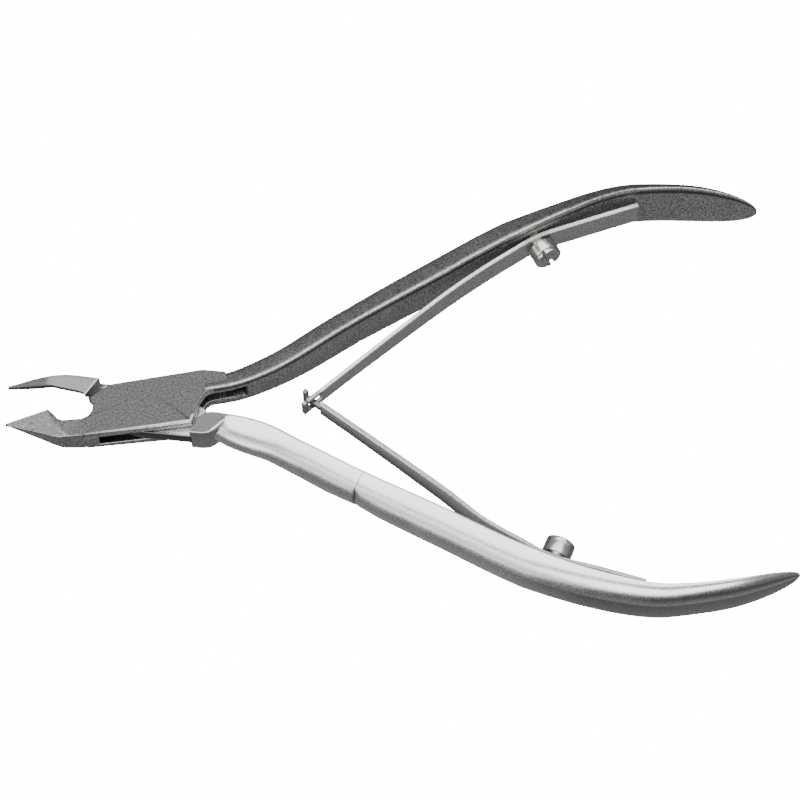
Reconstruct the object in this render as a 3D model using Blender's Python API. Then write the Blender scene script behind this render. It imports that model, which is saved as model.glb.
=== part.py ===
"""Cuticle nipper with a box joint and a double leaf spring, modelled open.

Sizes are in millimetres and become metres as each mesh is made. +X runs from the pivot to the handle
ends, +Y to the handle of the box half, +Z up along the pivot, whose lower end is the origin.
Each half is drawn as it lies when the nipper is closed, then turned about the pivot to the open stop.
"""

import math

import bmesh
import bpy
import numpy as np
from mathutils import Matrix, Vector

MM = 0.001

# Joint
JOINT_THICKNESS = 5.0
JOINT_HALF_WIDTH = 3.9
WEB_THICKNESS = 1.9
SLOT_CLEARANCE = 0.1
PIVOT_RADIUS = 2.0
PIVOT_CLEARANCE = 0.05
REAR_ARC_RADIUS = 8.3
SHOULDER_RADIUS = 7.85
JOINT_GAP = 0.3
INNER_HALF_GAP = 0.35
BOX_OPEN_DEG = 8.9
TONGUE_OPEN_DEG = 7.8

# Jaws
JAW_LENGTH = 19.6
HEEL_X = -13.2
EDGE_TIP_Y = 0.45
EDGE_HEEL_Y = 1.4
EDGE_HALF_GAP = 0.1
TIP_Z = 4.7
HEEL_Z = 5.4
JAW_LAND = 0.35
JAW_EDGE_DEPTH = 0.5

# Handles
UPPER_LENGTH = 97.0
LOWER_LENGTH = 96.0
WELD_X = 33.6
WELD_GAP = 0.3
HANDLE_WIDTH = 9.5
HANDLE_THICKNESS = 4.4
SHANK_WIDTH = 4.9
SHANK_THICKNESS = 3.1

# Leaf springs
LEAF_THICKNESS = 0.7
LEAF_WIDTH = 4.3
LEAF_TIP_WIDTH = 3.0
LEAF_SEAT_GAP = 0.3
FLEX_ROOM = 0.09
WINDOW_WIDTH = 1.8
WINDOW_SPAN = (0.8, 3.4)
NECK_WIDTH = 1.2
NECK_LENGTH = 2.6
TEE_WIDTH = 4.0
TEE_LENGTH = 0.6

# Leaf screws
SCREW_RADIUS = 1.25
SCREW_CLEARANCE = 0.2
SCREW_HEAD_RADIUS = 2.15
SCREW_HEAD_HEIGHT = 2.5
SCREW_HEAD_GAP = 0.5
SCREW_DEPTH = 2.6
SCREW_END_GAP = 0.9
SCREW_SLOT_WIDTH = 0.5
SCREW_SLOT_DEPTH = 0.8
UPPER_SCREW_X = 62.8
LOWER_SCREW_X = 61.2
UPPER_TAIL_X = 79.0
LOWER_TAIL_X = 74.4

ROUND_STEPS = 48
MIDDLE_Z = JOINT_THICKNESS / 2


def clear_scene():
    for item in list(bpy.data.objects):
        bpy.data.objects.remove(item, do_unlink=True)


def steel(name, colour, roughness):
    material = bpy.data.materials.new(name)
    material.use_nodes = True
    shader = material.node_tree.nodes["Principled BSDF"]
    shader.inputs["Base Color"].default_value = (*colour, 1.0)
    shader.inputs["Metallic"].default_value = 1.0
    shader.inputs["Roughness"].default_value = roughness
    return material


def pivot_frame(name, degrees):
    """An empty on the pivot axis, turned to the open stop, that carries one half of the nipper."""
    empty = bpy.data.objects.new(name, None)
    empty.rotation_euler = (0.0, 0.0, math.radians(degrees))
    bpy.context.scene.collection.objects.link(empty)
    return empty


def finish_mesh(mesh, name, material, parent, smooth_deg=35):
    """Turns a bmesh drawn in millimetres into an object in metres."""
    bmesh.ops.recalc_face_normals(mesh, faces=mesh.faces)
    bmesh.ops.scale(mesh, vec=(MM, MM, MM), verts=mesh.verts)
    data = bpy.data.meshes.new(name)
    mesh.to_mesh(data)
    mesh.free()
    data.shade_smooth()
    data.set_sharp_from_angle(angle=math.radians(smooth_deg))
    if material:
        data.materials.append(material)
    item = bpy.data.objects.new(name, data)
    item.parent = parent
    bpy.context.scene.collection.objects.link(item)
    return item


def as_helper(item):
    item.hide_render = True
    item.display_type = "WIRE"
    return item


def boolean(item, other, operation):
    """Joins or cuts item with a helper object."""
    as_helper(other)
    change = item.modifiers.new(other.name, "BOOLEAN")
    change.operation = operation
    change.solver = "EXACT"
    change.object = other


def prism(outline, low, high, name, material=None, parent=None):
    """A flat outline, drawn from above, raised from low to high. Each is a number or a function of x, y."""
    mesh = bmesh.new()
    level = [f if callable(f) else (lambda x, y, value=f: value) for f in (low, high)]
    bottom = [mesh.verts.new((x, y, level[0](x, y))) for x, y in outline]
    top = [mesh.verts.new((x, y, level[1](x, y))) for x, y in outline]
    count = len(outline)
    mesh.faces.new(bottom)
    mesh.faces.new(top)
    for i in range(count):
        j = (i + 1) % count
        mesh.faces.new((bottom[i], bottom[j], top[j], top[i]))
    bmesh.ops.triangulate(mesh, faces=[face for face in mesh.faces if len(face.verts) > 4])
    return finish_mesh(mesh, name, material, parent)


def loft(rings, name, material=None, parent=None, smooth_deg=35):
    """A closed solid through a row of rings that all have the same number of points."""
    mesh = bmesh.new()
    rows = [[mesh.verts.new(point) for point in ring] for ring in rings]
    count = len(rows[0])
    for first, second in zip(rows, rows[1:]):
        for i in range(count):
            j = (i + 1) % count
            mesh.faces.new((first[i], first[j], second[j], second[i]))
    mesh.faces.new(rows[0])
    mesh.faces.new(rows[-1])
    return finish_mesh(mesh, name, material, parent, smooth_deg)


def cylinder(radius, low, high, name, material=None, parent=None, steps=ROUND_STEPS):
    mesh = bmesh.new()
    bmesh.ops.create_cone(
        mesh, cap_ends=True, segments=steps, radius1=radius, radius2=radius, depth=high - low
    )
    bmesh.ops.translate(mesh, vec=(0, 0, (low + high) / 2), verts=mesh.verts)
    return finish_mesh(mesh, name, material, parent)


def arc(radius, start_deg, end_deg, steps):
    """Points on a circle about the pivot."""
    angles = np.radians(np.linspace(start_deg, end_deg, steps))
    return [(radius * math.cos(angle), radius * math.sin(angle)) for angle in angles]


def smooth_path(points, steps):
    """A cubic curve through the points, each span cut into equal steps."""
    ends = [2 * Vector(points[0]) - Vector(points[1]), 2 * Vector(points[-1]) - Vector(points[-2])]
    knots = [ends[0], *map(Vector, points), ends[1]]
    path = []
    for a, b, c, d in zip(knots, knots[1:], knots[2:], knots[3:]):
        for step in range(steps):
            t = step / steps
            path.append(
                0.5 * (2 * b + (c - a) * t + (2 * a - 5 * b + 4 * c - d) * t**2
                       + (3 * b - a - 3 * c + d) * t**3)
            )
    path.append(Vector(points[-1]))
    return np.array(path)


def outward(path, side):
    """The unit normal of a path at each point, on the side away from the nipper's middle."""
    run = np.gradient(path, axis=0)
    run /= np.linalg.norm(run, axis=1)[:, None]
    return np.stack([-run[:, 1], run[:, 0]], axis=1) * side


# The inner face of each handle, seen from above. The front points are places from the pivot, and the
# rear points are shares of the way from the weld to the end of the handle, with y measured outwards.
LINE_FRONT = [(9.0, INNER_HALF_GAP), (15.5, INNER_HALF_GAP), (19.2, 1.2)]
UPPER_SHANK = [(24.4, 3.3), (WELD_X, 7.4)]
LOWER_SHANK = [(24.4, 3.8), (WELD_X, 7.7)]
REAR_SHARES = [0.186, 0.36, 0.514, 0.653, 0.748, 0.866, 1.0]
UPPER_REAR = [12.0, 16.3, 19.3, 21.3, 21.2, 19.7, 16.9]
LOWER_REAR = [12.1, 16.4, 19.4, 20.9, 20.5, 18.8, 15.8]

# The straight stretch of each leaf, from its tip towards its seat, with y measured towards its own handle
UPPER_LEAF_RUN = [(23.2, -3.95), (34.6, 2.95), (46.0, 9.65)]
LOWER_LEAF_RUN = [(23.25, -5.02), (34.6, 1.95), (45.0, 8.55)]


def handle_length(side):
    return UPPER_LENGTH if side > 0 else LOWER_LENGTH


def handle_path(side, steps):
    """The inner face of one handle as a smooth line."""
    shank, rear = (UPPER_SHANK, UPPER_REAR) if side > 0 else (LOWER_SHANK, LOWER_REAR)
    xs = [WELD_X + share * (handle_length(side) - WELD_X) for share in REAR_SHARES]
    return smooth_path(LINE_FRONT + shank + list(zip(xs, rear)), steps)


def handle_line_y(x, side):
    path = handle_path(side, 12)
    return float(np.interp(x, path[:, 0], path[:, 1]))


def handle_sizes(x, length):
    """Thickness away from the inner face, and width along Z, at a distance x from the pivot."""
    shares = (x - WELD_X) / (length - WELD_X)
    thickness = np.interp(
        x, [9.0, 13.0, 20.0, 30.0], [SHANK_THICKNESS + 0.2, SHANK_THICKNESS, 3.8, HANDLE_THICKNESS]
    ) - np.interp(shares, [0.0, 0.15, 0.4, 0.63, 0.79, 1.0], [0.4, 0.1, 0.0, 1.3, 2.2, 2.9])
    width = np.interp(x, [12.0, 20.0, 28.0], [SHANK_WIDTH, SHANK_WIDTH + 0.4, 6.6]) + (
        HANDLE_WIDTH - 6.6
    ) * np.interp(shares, [0.0, 0.35, 0.6, 0.72], [0.15, 0.5, 1.0, 1.0])
    round_end = 12.0
    near_end = np.clip((x - (length - round_end)) / round_end, 0.0, 0.99)
    return thickness * (1 - near_end**2) ** 0.5, width * (1 - near_end**2.2) ** 0.5


def handle_rings(side, start, end, arc_steps=13):
    """Half-round sections, flat on the inner face, between two distances from the pivot."""
    path = handle_path(side, 6)
    between = path[(path[:, 0] > start + 0.4) & (path[:, 0] < end - 0.4), 0]
    stations = np.concatenate([[start], between, [end]])
    if end >= handle_length(side):
        last = [end - gap for gap in (1.9, 1.0, 0.4, 0.0)]
        stations = np.concatenate([stations[stations < last[0] - 0.4], last])
    inner = np.stack([stations, np.interp(stations, path[:, 0], path[:, 1])], axis=1)
    normals = outward(inner, 1)
    thickness, width = handle_sizes(stations, handle_length(side))
    turn = np.linspace(-math.pi / 2, math.pi / 2, arc_steps)
    rings = []
    for point, normal, thick, wide in zip(inner, normals, thickness, width):
        away = (point + np.outer(thick * np.cos(turn), normal)) * (1, side)
        level = MIDDLE_Z + wide / 2 * np.sin(turn)
        rings.append([(x, y, z) for (x, y), z in zip(away, level)])
    return rings


def jaw_floor(x, y=0.0):
    """The underside of a jaw, which rises from the joint to the tip."""
    reach = min(max((-x - 2.5) / (JAW_LENGTH - 2.5), 0.0), 1.0)
    return (TIP_Z - JAW_LAND) * reach**1.8


def jaw_top(x, y=0.0):
    """The top of a jaw, level with the joint and lifted a little at the heel of the cutting edge."""
    return JOINT_THICKNESS + (HEEL_Z - JOINT_THICKNESS) * min(max((-x - 11.0) / (-HEEL_X - 11.0), 0.0), 1.0)


def line_y(line, x):
    """The y of a line that runs towards the jaw tip."""
    xs, ys = zip(*line)
    return float(np.interp(-x, np.negative(xs), ys))


def jaw_loft(edge_line, rim_line, name, material, frame):
    """A hollow-ground jaw: a sharp edge on top, a rim lower down and an underside scooped out to the edge.

    Each section runs from the edge to the rim, down to the floor and back under the edge. Towards the
    joint the scoop dies out, so that the section fills up.
    """
    knots = {point[0] for point in edge_line + rim_line}
    between = np.linspace(edge_line[0][0], -JAW_LENGTH, 12)
    stations = knots.union(x for x in between if min(abs(x - knot) for knot in knots) > 0.3)
    rings = []
    for x in sorted(stations, reverse=True):
        share = min(max((x - HEEL_X) / (-JAW_LENGTH - HEEL_X), 0.0), 1.0)
        fill = min(max((x + 10.5) / 3.0, 0.0), 1.0)
        edge = line_y(edge_line, x)
        rim = line_y(rim_line, x)
        edge_z = jaw_top(x) + (TIP_Z - HEEL_Z) * share
        floor = min(jaw_floor(x), edge_z - JAW_EDGE_DEPTH - 0.1)
        rim_z = max(edge_z - (JAW_LAND + 4.0 * share * (1 - share)) * min(4 * share, 1.0), floor + 0.15)
        under_z = max(edge_z - JAW_EDGE_DEPTH - fill * JOINT_THICKNESS, floor)
        toe = edge + (rim - edge) * (0.8 - 0.78 * fill)
        toe_z = floor + (edge_z - JAW_EDGE_DEPTH - floor) * 0.15 * (1 - fill)
        section = [(edge, edge_z), (rim, rim_z), (rim, floor), (toe, toe_z), (edge, under_z)]
        rings.append([(x, y, z) for y, z in section])
    return loft(rings, name, material, frame)


def cutting_edge(side):
    return [(HEEL_X, EDGE_HEEL_Y + side * EDGE_HALF_GAP), (-JAW_LENGTH, EDGE_TIP_Y + side * EDGE_HALF_GAP)]


def pivot_hole(name, frame):
    return cylinder(PIVOT_RADIUS + PIVOT_CLEARANCE, -1.0, JOINT_THICKNESS + 1.0, name, parent=frame)


def box_half(frame, material):
    """The lower jaw, the slotted box of the joint and the front shank of the upper handle."""
    throat = [(-8.8, -0.95), (-7.7, -0.65), (-7.1, -0.05), (-6.8, 0.8), (-6.85, 1.6), (-7.1, 2.2)]
    bump = [(-3.9, JOINT_HALF_WIDTH), (9.6, JOINT_HALF_WIDTH), (10.4, JOINT_HALF_WIDTH - 0.2)]
    root = [(13.2, INNER_HALF_GAP), (10.9, INNER_HALF_GAP), (10.1, 0.3), (9.4, -0.05), (8.9, -0.7)]
    rear = arc(REAR_ARC_RADIUS, -11, -32.8, 9)
    outline = throat + bump + root + rear + [(-8.8, -3.65)]
    body = prism(outline, jaw_floor, JOINT_THICKNESS, "box_half", material, frame)
    edge = [(-7.9, -0.95), (-8.8, -0.95), (-11.4, -0.8), (-12.0, -0.45), (-12.4, 0.2)] + cutting_edge(-1)
    rim = [(-7.9, -3.7), (-12.0, -3.45), (HEEL_X, -2.95), (-14.8, -2.1), (-17.5, -0.8), (-JAW_LENGTH, 0.2)]
    boolean(body, jaw_loft(edge, rim, "box_blade", None, frame), "UNION")
    shank = loft(handle_rings(1, 9.6, WELD_X - WELD_GAP / 2), "box_shank", parent=frame)
    boolean(body, shank, "UNION")
    slot = [(-6.65, -7.0), (-6.65, -0.3), (-8.5, 1.0), (-8.5, 6.0), (0.9, 6.0), (0.9, JOINT_HALF_WIDTH),
            (14.6, 1.9), (15.2, 1.4), (15.2, -7.0)]
    gap = WEB_THICKNESS / 2 + SLOT_CLEARANCE
    boolean(body, prism(slot, MIDDLE_Z - gap, MIDDLE_Z + gap, "box_slot", parent=frame), "DIFFERENCE")
    boolean(body, pivot_hole("box_hole", frame), "DIFFERENCE")


def tongue_half(frame, material):
    """The upper jaw, the web that passes through the box and the front shank of the lower handle."""
    edge = [(-6.0, -0.6), (-7.8, 0.5), (-8.4, 0.9), (-9.7, 1.1), (-11.3, 1.25)] + cutting_edge(1)
    rim = [(-6.0, 3.5), (-10.2, 3.5), (-11.7, 3.3), (HEEL_X, 2.9), (-15.85, 2.05), (-18.4, 1.05)]
    rim += [(-JAW_LENGTH, 0.8)]
    body = jaw_loft(edge, rim, "tongue_half", material, frame)
    relief = cylinder(SHOULDER_RADIUS, -1.0, HEEL_Z + 1.0, "tongue_relief", parent=frame, steps=96)
    boolean(body, relief, "DIFFERENCE")
    web = [(-8.2, 1.2), (-8.2, 3.2), (-6.5, 3.4), (0.2, 3.5), (8.0, 2.2), (9.6, 1.2), (10.2, -0.6)]
    web += [(9.6, -3.0), (8.9, -JOINT_HALF_WIDTH), (-3.8, -JOINT_HALF_WIDTH), (-6.0, -2.2), (-6.3, -0.4)]
    web += [(-7.6, 0.6)]
    half_web = WEB_THICKNESS / 2
    tongue = prism(web, MIDDLE_Z - half_web, MIDDLE_Z + half_web, "tongue_web", parent=frame)
    boolean(body, tongue, "UNION")
    rear_radius = REAR_ARC_RADIUS + JOINT_GAP
    shoulder = arc(rear_radius, -27.0, -11.0, 7) + [(9.25, -0.85), (9.8, -0.4), (10.6, -0.2)]
    shoulder += [(13.2, -INNER_HALF_GAP), (10.4, 0.2 - JOINT_HALF_WIDTH), (9.6, -JOINT_HALF_WIDTH)]
    boolean(body, prism(shoulder, 0.0, JOINT_THICKNESS, "tongue_shoulder", parent=frame), "UNION")
    shank = loft(handle_rings(-1, 9.6, WELD_X - WELD_GAP / 2), "tongue_shank", parent=frame)
    boolean(body, shank, "UNION")
    boolean(body, pivot_hole("tongue_hole", frame), "DIFFERENCE")


def handle_slope(x, side):
    return handle_line_y(x + 0.5, side) - handle_line_y(x - 0.5, side)


def seat_point(x, gap, side):
    """The middle of a leaf whose back stands a gap off the inner face of its handle."""
    slope = handle_slope(x, side)
    away = (gap + LEAF_THICKNESS / 2) / math.hypot(1.0, slope)
    return Vector((x + away * slope, handle_line_y(x, side) - away))


def screw_place(x, side):
    """The middle of the leaf at its screw, and the screw's direction into the handle."""
    middle = seat_point(x, LEAF_SEAT_GAP, side)
    into = Vector((-handle_slope(x, side), 1.0)).normalized()
    return Vector((middle.x, side * middle.y, MIDDLE_Z)), Vector((into.x, side * into.y, 0.0))


def aimed(place, direction):
    """A frame at a place whose Z axis points in a direction and whose Y axis stays upright."""
    across = Vector((0.0, 0.0, 1.0)).cross(direction)
    turn = Matrix((across, Vector((0.0, 0.0, 1.0)), direction)).transposed()
    return Matrix.Translation(place * MM) @ turn.to_4x4()


def grip(side, screw_x, name, material, frame):
    """The rear part of a handle, welded behind the shank, with the blind hole for its leaf screw."""
    body = loft(handle_rings(side, WELD_X + WELD_GAP / 2, handle_length(side)), name, material, frame)
    place, into = screw_place(screw_x, side)
    depth = SCREW_DEPTH + SCREW_END_GAP
    hole = cylinder(SCREW_RADIUS + SCREW_CLEARANCE, -1.0, depth, name + "_hole", parent=frame, steps=24)
    hole.matrix_local = aimed(place, into)
    boolean(body, hole, "DIFFERENCE")


def leaf_path(side, run, screw_x, tail_x):
    """The middle line of a leaf with equal steps along it, from its tip to its tail."""
    flex = [(screw_x - ahead, LEAF_SEAT_GAP + FLEX_ROOM * ahead) for ahead in (11.0, 5.0)]
    seats = flex + [(screw_x, LEAF_SEAT_GAP), (screw_x + 6.5, 0.9), (tail_x, 0.7)]
    path = smooth_path(run + [tuple(seat_point(x, gap, side)) for x, gap in seats], 16)
    length = np.concatenate([[0.0], np.cumsum(np.linalg.norm(np.diff(path, axis=0), axis=1))])
    return path, length


def along(path, length, stations):
    """Points at given distances from the start of a path."""
    return np.stack([np.interp(stations, length, path[:, axis]) for axis in (0, 1)], axis=1)


def leaf_strip(path, length, stations, widths, side, name, frame, thickness=LEAF_THICKNESS, material=None):
    """A strip of spring steel on its edge: stations are distances from the tip and widths are along Z."""
    points = along(path, length, stations)
    run = along(path, length, np.add(stations, 0.3)) - along(path, length, np.subtract(stations, 0.3))
    run /= np.linalg.norm(run, axis=1)[:, None]
    rings = []
    for (x, y), (dx, dy), width in zip(points, run, widths):
        half = thickness / 2
        outer = (x - dy * half, side * (y + dx * half))
        inner = (x + dy * half, side * (y - dx * half))
        low, high = MIDDLE_Z - width / 2, MIDDLE_Z + width / 2
        rings.append([(*outer, low), (*outer, high), (*inner, high), (*inner, low)])
    return loft(rings, name, material, frame)


def leaf(side, run, screw_x, tail_x, outline, name, material, frame):
    """A leaf spring with its screw hole. Outline lists distances from the tip with the width at each."""
    path, length = leaf_path(side, run, screw_x, tail_x)
    stations = [point[0] for point in outline]
    widths = [point[1] for point in outline]
    rest = np.arange(stations[-1] + 1.6, length[-1] - 0.5, 1.6)
    stations = np.concatenate([stations, rest, [length[-1]]])
    widths = np.concatenate([widths, np.full(len(rest) + 1, LEAF_WIDTH)])
    body = leaf_strip(path, length, stations, widths, side, name, frame, material=material)
    place, into = screw_place(screw_x, side)
    hole = cylinder(SCREW_RADIUS + SCREW_CLEARANCE, -1.0, 1.0, name + "_hole", parent=frame, steps=24)
    hole.matrix_local = aimed(place, into)
    boolean(body, hole, "DIFFERENCE")
    return body, path, length


def leaf_screw(side, screw_x, name, material, frame):
    """A slotted cheese-head screw, with its head on the open side of the leaf."""
    place, into = screw_place(screw_x, side)
    head_start = -LEAF_THICKNESS / 2 - SCREW_HEAD_GAP
    head_end = head_start - SCREW_HEAD_HEIGHT
    body = cylinder(SCREW_RADIUS, head_start - 0.1, SCREW_DEPTH, name, material, frame, steps=24)
    head = cylinder(SCREW_HEAD_RADIUS, head_end, head_start, name + "_head", parent=frame)
    half_slot = SCREW_SLOT_WIDTH / 2
    reach = SCREW_HEAD_RADIUS + 0.8
    outline = [(-half_slot, -reach), (half_slot, -reach), (half_slot, reach), (-half_slot, reach)]
    slot = prism(outline, head_end - 1.0, head_end + SCREW_SLOT_DEPTH, name + "_slot", parent=frame)
    for item in (body, head, slot):
        item.matrix_local = aimed(place, into)
    boolean(body, head, "UNION")
    boolean(body, slot, "DIFFERENCE")


def build():
    clear_scene()
    forged = steel("forged_steel", (0.33, 0.33, 0.33), 0.4)
    polished = steel("polished_steel", (0.6, 0.6, 0.6), 0.25)
    spring = steel("spring_steel", (0.5, 0.5, 0.5), 0.3)
    box_frame = pivot_frame("box_side", BOX_OPEN_DEG)
    tongue_frame = pivot_frame("tongue_side", -TONGUE_OPEN_DEG)

    box_half(box_frame, forged)
    tongue_half(tongue_frame, forged)
    cylinder(PIVOT_RADIUS, 0.0, JOINT_THICKNESS, "pivot_rivet", polished, box_frame)
    grip(1, UPPER_SCREW_X, "upper_grip", forged, box_frame)
    grip(-1, LOWER_SCREW_X, "lower_grip", polished, tongue_frame)

    front = [(9.0, LEAF_TIP_WIDTH + 0.2), (20.0, LEAF_WIDTH - 0.5), (30.0, LEAF_WIDTH)]
    outline = [(0.0, LEAF_TIP_WIDTH), (1.0, LEAF_TIP_WIDTH)] + front
    upper, path, length = leaf(
        1, UPPER_LEAF_RUN, UPPER_SCREW_X, UPPER_TAIL_X, outline, "upper_leaf", spring, box_frame
    )
    window = leaf_strip(
        path, length, WINDOW_SPAN, [WINDOW_WIDTH] * 2, 1, "upper_window", box_frame, thickness=4.0
    )
    boolean(upper, window, "DIFFERENCE")

    neck_end = TEE_LENGTH + NECK_LENGTH
    outline = [(0.0, TEE_WIDTH), (TEE_LENGTH, TEE_WIDTH), (TEE_LENGTH + 0.05, NECK_WIDTH)]
    outline += [(neck_end, NECK_WIDTH), (neck_end + 0.3, LEAF_TIP_WIDTH)] + front
    leaf(-1, LOWER_LEAF_RUN, LOWER_SCREW_X, LOWER_TAIL_X, outline, "lower_leaf", spring, tongue_frame)
    leaf_screw(1, UPPER_SCREW_X, "upper_leaf_screw", polished, box_frame)
    leaf_screw(-1, LOWER_SCREW_X, "lower_leaf_screw", polished, tongue_frame)


build()
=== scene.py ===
import math

import bmesh
import bpy
import numpy as np
from mathutils import Matrix, Vector


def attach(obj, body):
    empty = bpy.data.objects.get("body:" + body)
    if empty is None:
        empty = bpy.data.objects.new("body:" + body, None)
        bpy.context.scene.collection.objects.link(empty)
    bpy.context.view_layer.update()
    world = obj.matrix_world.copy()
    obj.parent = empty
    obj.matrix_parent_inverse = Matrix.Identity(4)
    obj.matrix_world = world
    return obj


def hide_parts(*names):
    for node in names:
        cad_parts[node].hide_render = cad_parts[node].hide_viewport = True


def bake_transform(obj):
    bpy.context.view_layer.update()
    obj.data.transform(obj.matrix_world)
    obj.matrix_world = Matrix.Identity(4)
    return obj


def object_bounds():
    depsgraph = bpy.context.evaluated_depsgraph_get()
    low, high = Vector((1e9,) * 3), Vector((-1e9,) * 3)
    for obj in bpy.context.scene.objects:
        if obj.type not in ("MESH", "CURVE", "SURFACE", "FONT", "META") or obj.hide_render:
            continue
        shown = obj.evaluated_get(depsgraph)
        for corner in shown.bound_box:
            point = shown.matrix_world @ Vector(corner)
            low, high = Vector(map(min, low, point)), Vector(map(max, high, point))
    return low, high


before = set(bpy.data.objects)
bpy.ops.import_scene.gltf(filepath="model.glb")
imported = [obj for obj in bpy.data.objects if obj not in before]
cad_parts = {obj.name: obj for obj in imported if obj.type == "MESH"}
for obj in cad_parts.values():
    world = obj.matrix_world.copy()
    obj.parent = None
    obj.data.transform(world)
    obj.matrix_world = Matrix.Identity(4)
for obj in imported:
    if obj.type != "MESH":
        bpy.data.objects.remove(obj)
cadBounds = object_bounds()
print("frame loaded:", sorted(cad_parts))

# Shapes are worked out in millimetres in the frame of a closed nipper, then turned about the pivot
# to the open stop: boxTurn for the half with the box, tongueTurn for the half with the tongue.
mm = 0.001
boxTurn = math.radians(8.9)
tongueTurn = math.radians(-7.8)
middleZ = 2.5
sharpAngle = math.radians(38)


def smoothPath(points, steps):
    # Catmull-Rom: a cubic through the points, each span cut into equal steps
    p = np.array(points, float)
    knots = np.vstack([2 * p[0] - p[1], p, 2 * p[-1] - p[-2]])
    t = (np.arange(steps) / steps)[None, :, None]
    a, b, c, d = (knots[i : len(knots) - 3 + i][:, None, :] for i in range(4))
    square, cube = 2 * a - 5 * b + 4 * c - d, 3 * b - a - 3 * c + d
    spans = 0.5 * (2 * b + (c - a) * t + square * t**2 + cube * t**3)
    return np.vstack([spans.reshape(-1, p.shape[1]), p[-1]])


def pathLength(path):
    return np.concatenate([[0.0], np.cumsum(np.linalg.norm(np.diff(path, axis=0), axis=1))])


def along(path, length, stations):
    # the point at each distance from the start of a path
    return np.stack([np.interp(stations, length, axis) for axis in path.T], axis=-1)


def eased(x, places, values):
    # straight lines through values at places, averaged over 4 mm so that no corner shows
    shifts = np.linspace(-2.0, 2.0, 9)
    return np.mean([np.interp(x + shift, places, values) for shift in shifts], axis=0)


def bell(x, middle, width):
    # one at the middle, falling off on both sides like e to minus the square of the distance
    return np.exp(-(((x - middle) / width) ** 2))


def rising(x, start, reach):
    # nothing up to the start, then a straight rise to one over the reach
    return np.clip((x - start) / reach, 0.0, 1.0)


def stepUp(x, middle, width):
    # a soft step from nothing to one: one over one plus e to minus the distance past the middle
    return 1.0 / (1.0 + np.exp(-(x - middle) / width))


def softOutline(points, radius, steps=6):
    # every corner of a closed outline becomes a quadratic curve that starts one radius before it
    p = np.array(points, float)
    toBack = np.roll(p, 1, axis=0) - p
    toNext = np.roll(p, -1, axis=0) - p
    backLength = np.linalg.norm(toBack, axis=1)[:, None]
    nextLength = np.linalg.norm(toNext, axis=1)[:, None]
    start = p + toBack / backLength * np.minimum(radius, backLength * 0.45)
    stop = p + toNext / nextLength * np.minimum(radius, nextLength * 0.45)
    t = np.linspace(0.0, 1.0, steps)[None, :, None]
    curve = (1 - t) ** 2 * start[:, None] + 2 * t * (1 - t) * p[:, None] + t**2 * stop[:, None]
    return curve.reshape(-1, 2)


def inwardOf(outline):
    # unit normal of a closed outline, on its inner side whichever way the outline runs
    run = np.roll(outline, -1, axis=0) - np.roll(outline, 1, axis=0)
    run = run / np.maximum(np.linalg.norm(run, axis=1), 1e-9)[:, None]
    x, y = outline.T
    area = 0.5 * np.sum(x * np.roll(y, -1) - np.roll(x, -1) * y)
    return np.stack([-run[:, 1], run[:, 0]], axis=1) * np.sign(area)


def gridPart(grid, paintedShading=1.0):
    # a grid of rows and columns as quads, wrapped across the columns, with one face over each end
    # row. A part is its points, the corners of all its faces in a row, each face's size, and the
    # points' tones: painted light and shade, multiplied into the colour
    rows, columns = grid.shape[:2]
    index = np.arange(rows * columns).reshape(rows, columns)
    right = np.roll(index, -1, axis=1)
    quads = np.stack([index[:-1], right[:-1], right[1:], index[1:]], axis=-1)
    corners = np.concatenate([quads.ravel(), index[0][::-1], index[-1]])
    sizes = np.concatenate([np.full((rows - 1) * columns, 4), [columns, columns]])
    tones = np.broadcast_to(paintedShading, (rows, columns)).reshape(-1).astype(float)
    return grid.reshape(-1, 3), corners, sizes, tones


def platePart(
    outline, low, high, edge=0.15, paintedShading=1.0, wallTone=None, rimTone=None, topTone=None,
    steps=5, centre=None, rings=8,
):
    # an outline raised from low to high, with quarter-round rims of radius edge and each end filled
    # with rings that shrink towards the centre. Heights, edge and tones are numbers or functions of
    # x and y; the tones are painted light and shade on the body, walls, rims and top
    def spread(value):
        return value(*outline.T) if callable(value) else np.full(len(outline), float(value))

    turn = np.linspace(0.0, math.pi / 2, steps)
    inward = inwardOf(outline)
    lowZ, highZ, radius = spread(low), spread(high), spread(edge)
    levels, ringTones = [], []
    wall = paintedShading if wallTone is None else wallTone
    rim = wall if rimTone is None else rimTone
    for t in turn:
        plan = outline + inward * (radius * (1 - math.sin(t)))[:, None]
        levels.append(np.column_stack([plan, lowZ + radius * (1 - math.cos(t))]))
        ringTones.append(wall)
    for t in turn[::-1]:
        plan = outline + inward * (radius * (1 - math.sin(t)))[:, None]
        levels.append(np.column_stack([plan, highZ - radius * (1 - math.cos(t))]))
        ringTones.append(wall if t == turn[-1] else rim)
    tones = [spread(t) for t in ringTones]
    inner = outline + inward * (radius + 0.03)[:, None]
    middle = inner.mean(axis=0) if centre is None else np.array(centre)
    for share in np.linspace(1.0, 0.01, rings + 1):
        plan = middle + (inner - middle) * share
        x, y = plan.T
        topZ = high(x, y) if callable(high) else highZ
        baseZ = low(x, y) if callable(low) else lowZ
        levels.append(np.column_stack([plan, topZ]))
        levels.insert(0, np.column_stack([plan, baseZ]))
        flat = paintedShading if topTone is None else topTone
        tones.append(flat(x, y) if callable(flat) else np.full(len(x), float(flat)))
        tones.insert(0, np.full(len(x), float(paintedShading)))
    return gridPart(np.stack(levels), np.stack(tones))


def turned(part, angle):
    # a part turned about the pivot
    points, *rest = part
    c, s = math.cos(angle), math.sin(angle)
    return points @ np.array([[c, s, 0], [-s, c, 0], [0, 0, 1]]), *rest


def placed(part, matrix):
    # a part moved by a matrix in millimetres
    points, *rest = part
    m = np.array(matrix)
    return points @ m[:3, :3].T + m[:3, 3], *rest


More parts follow.
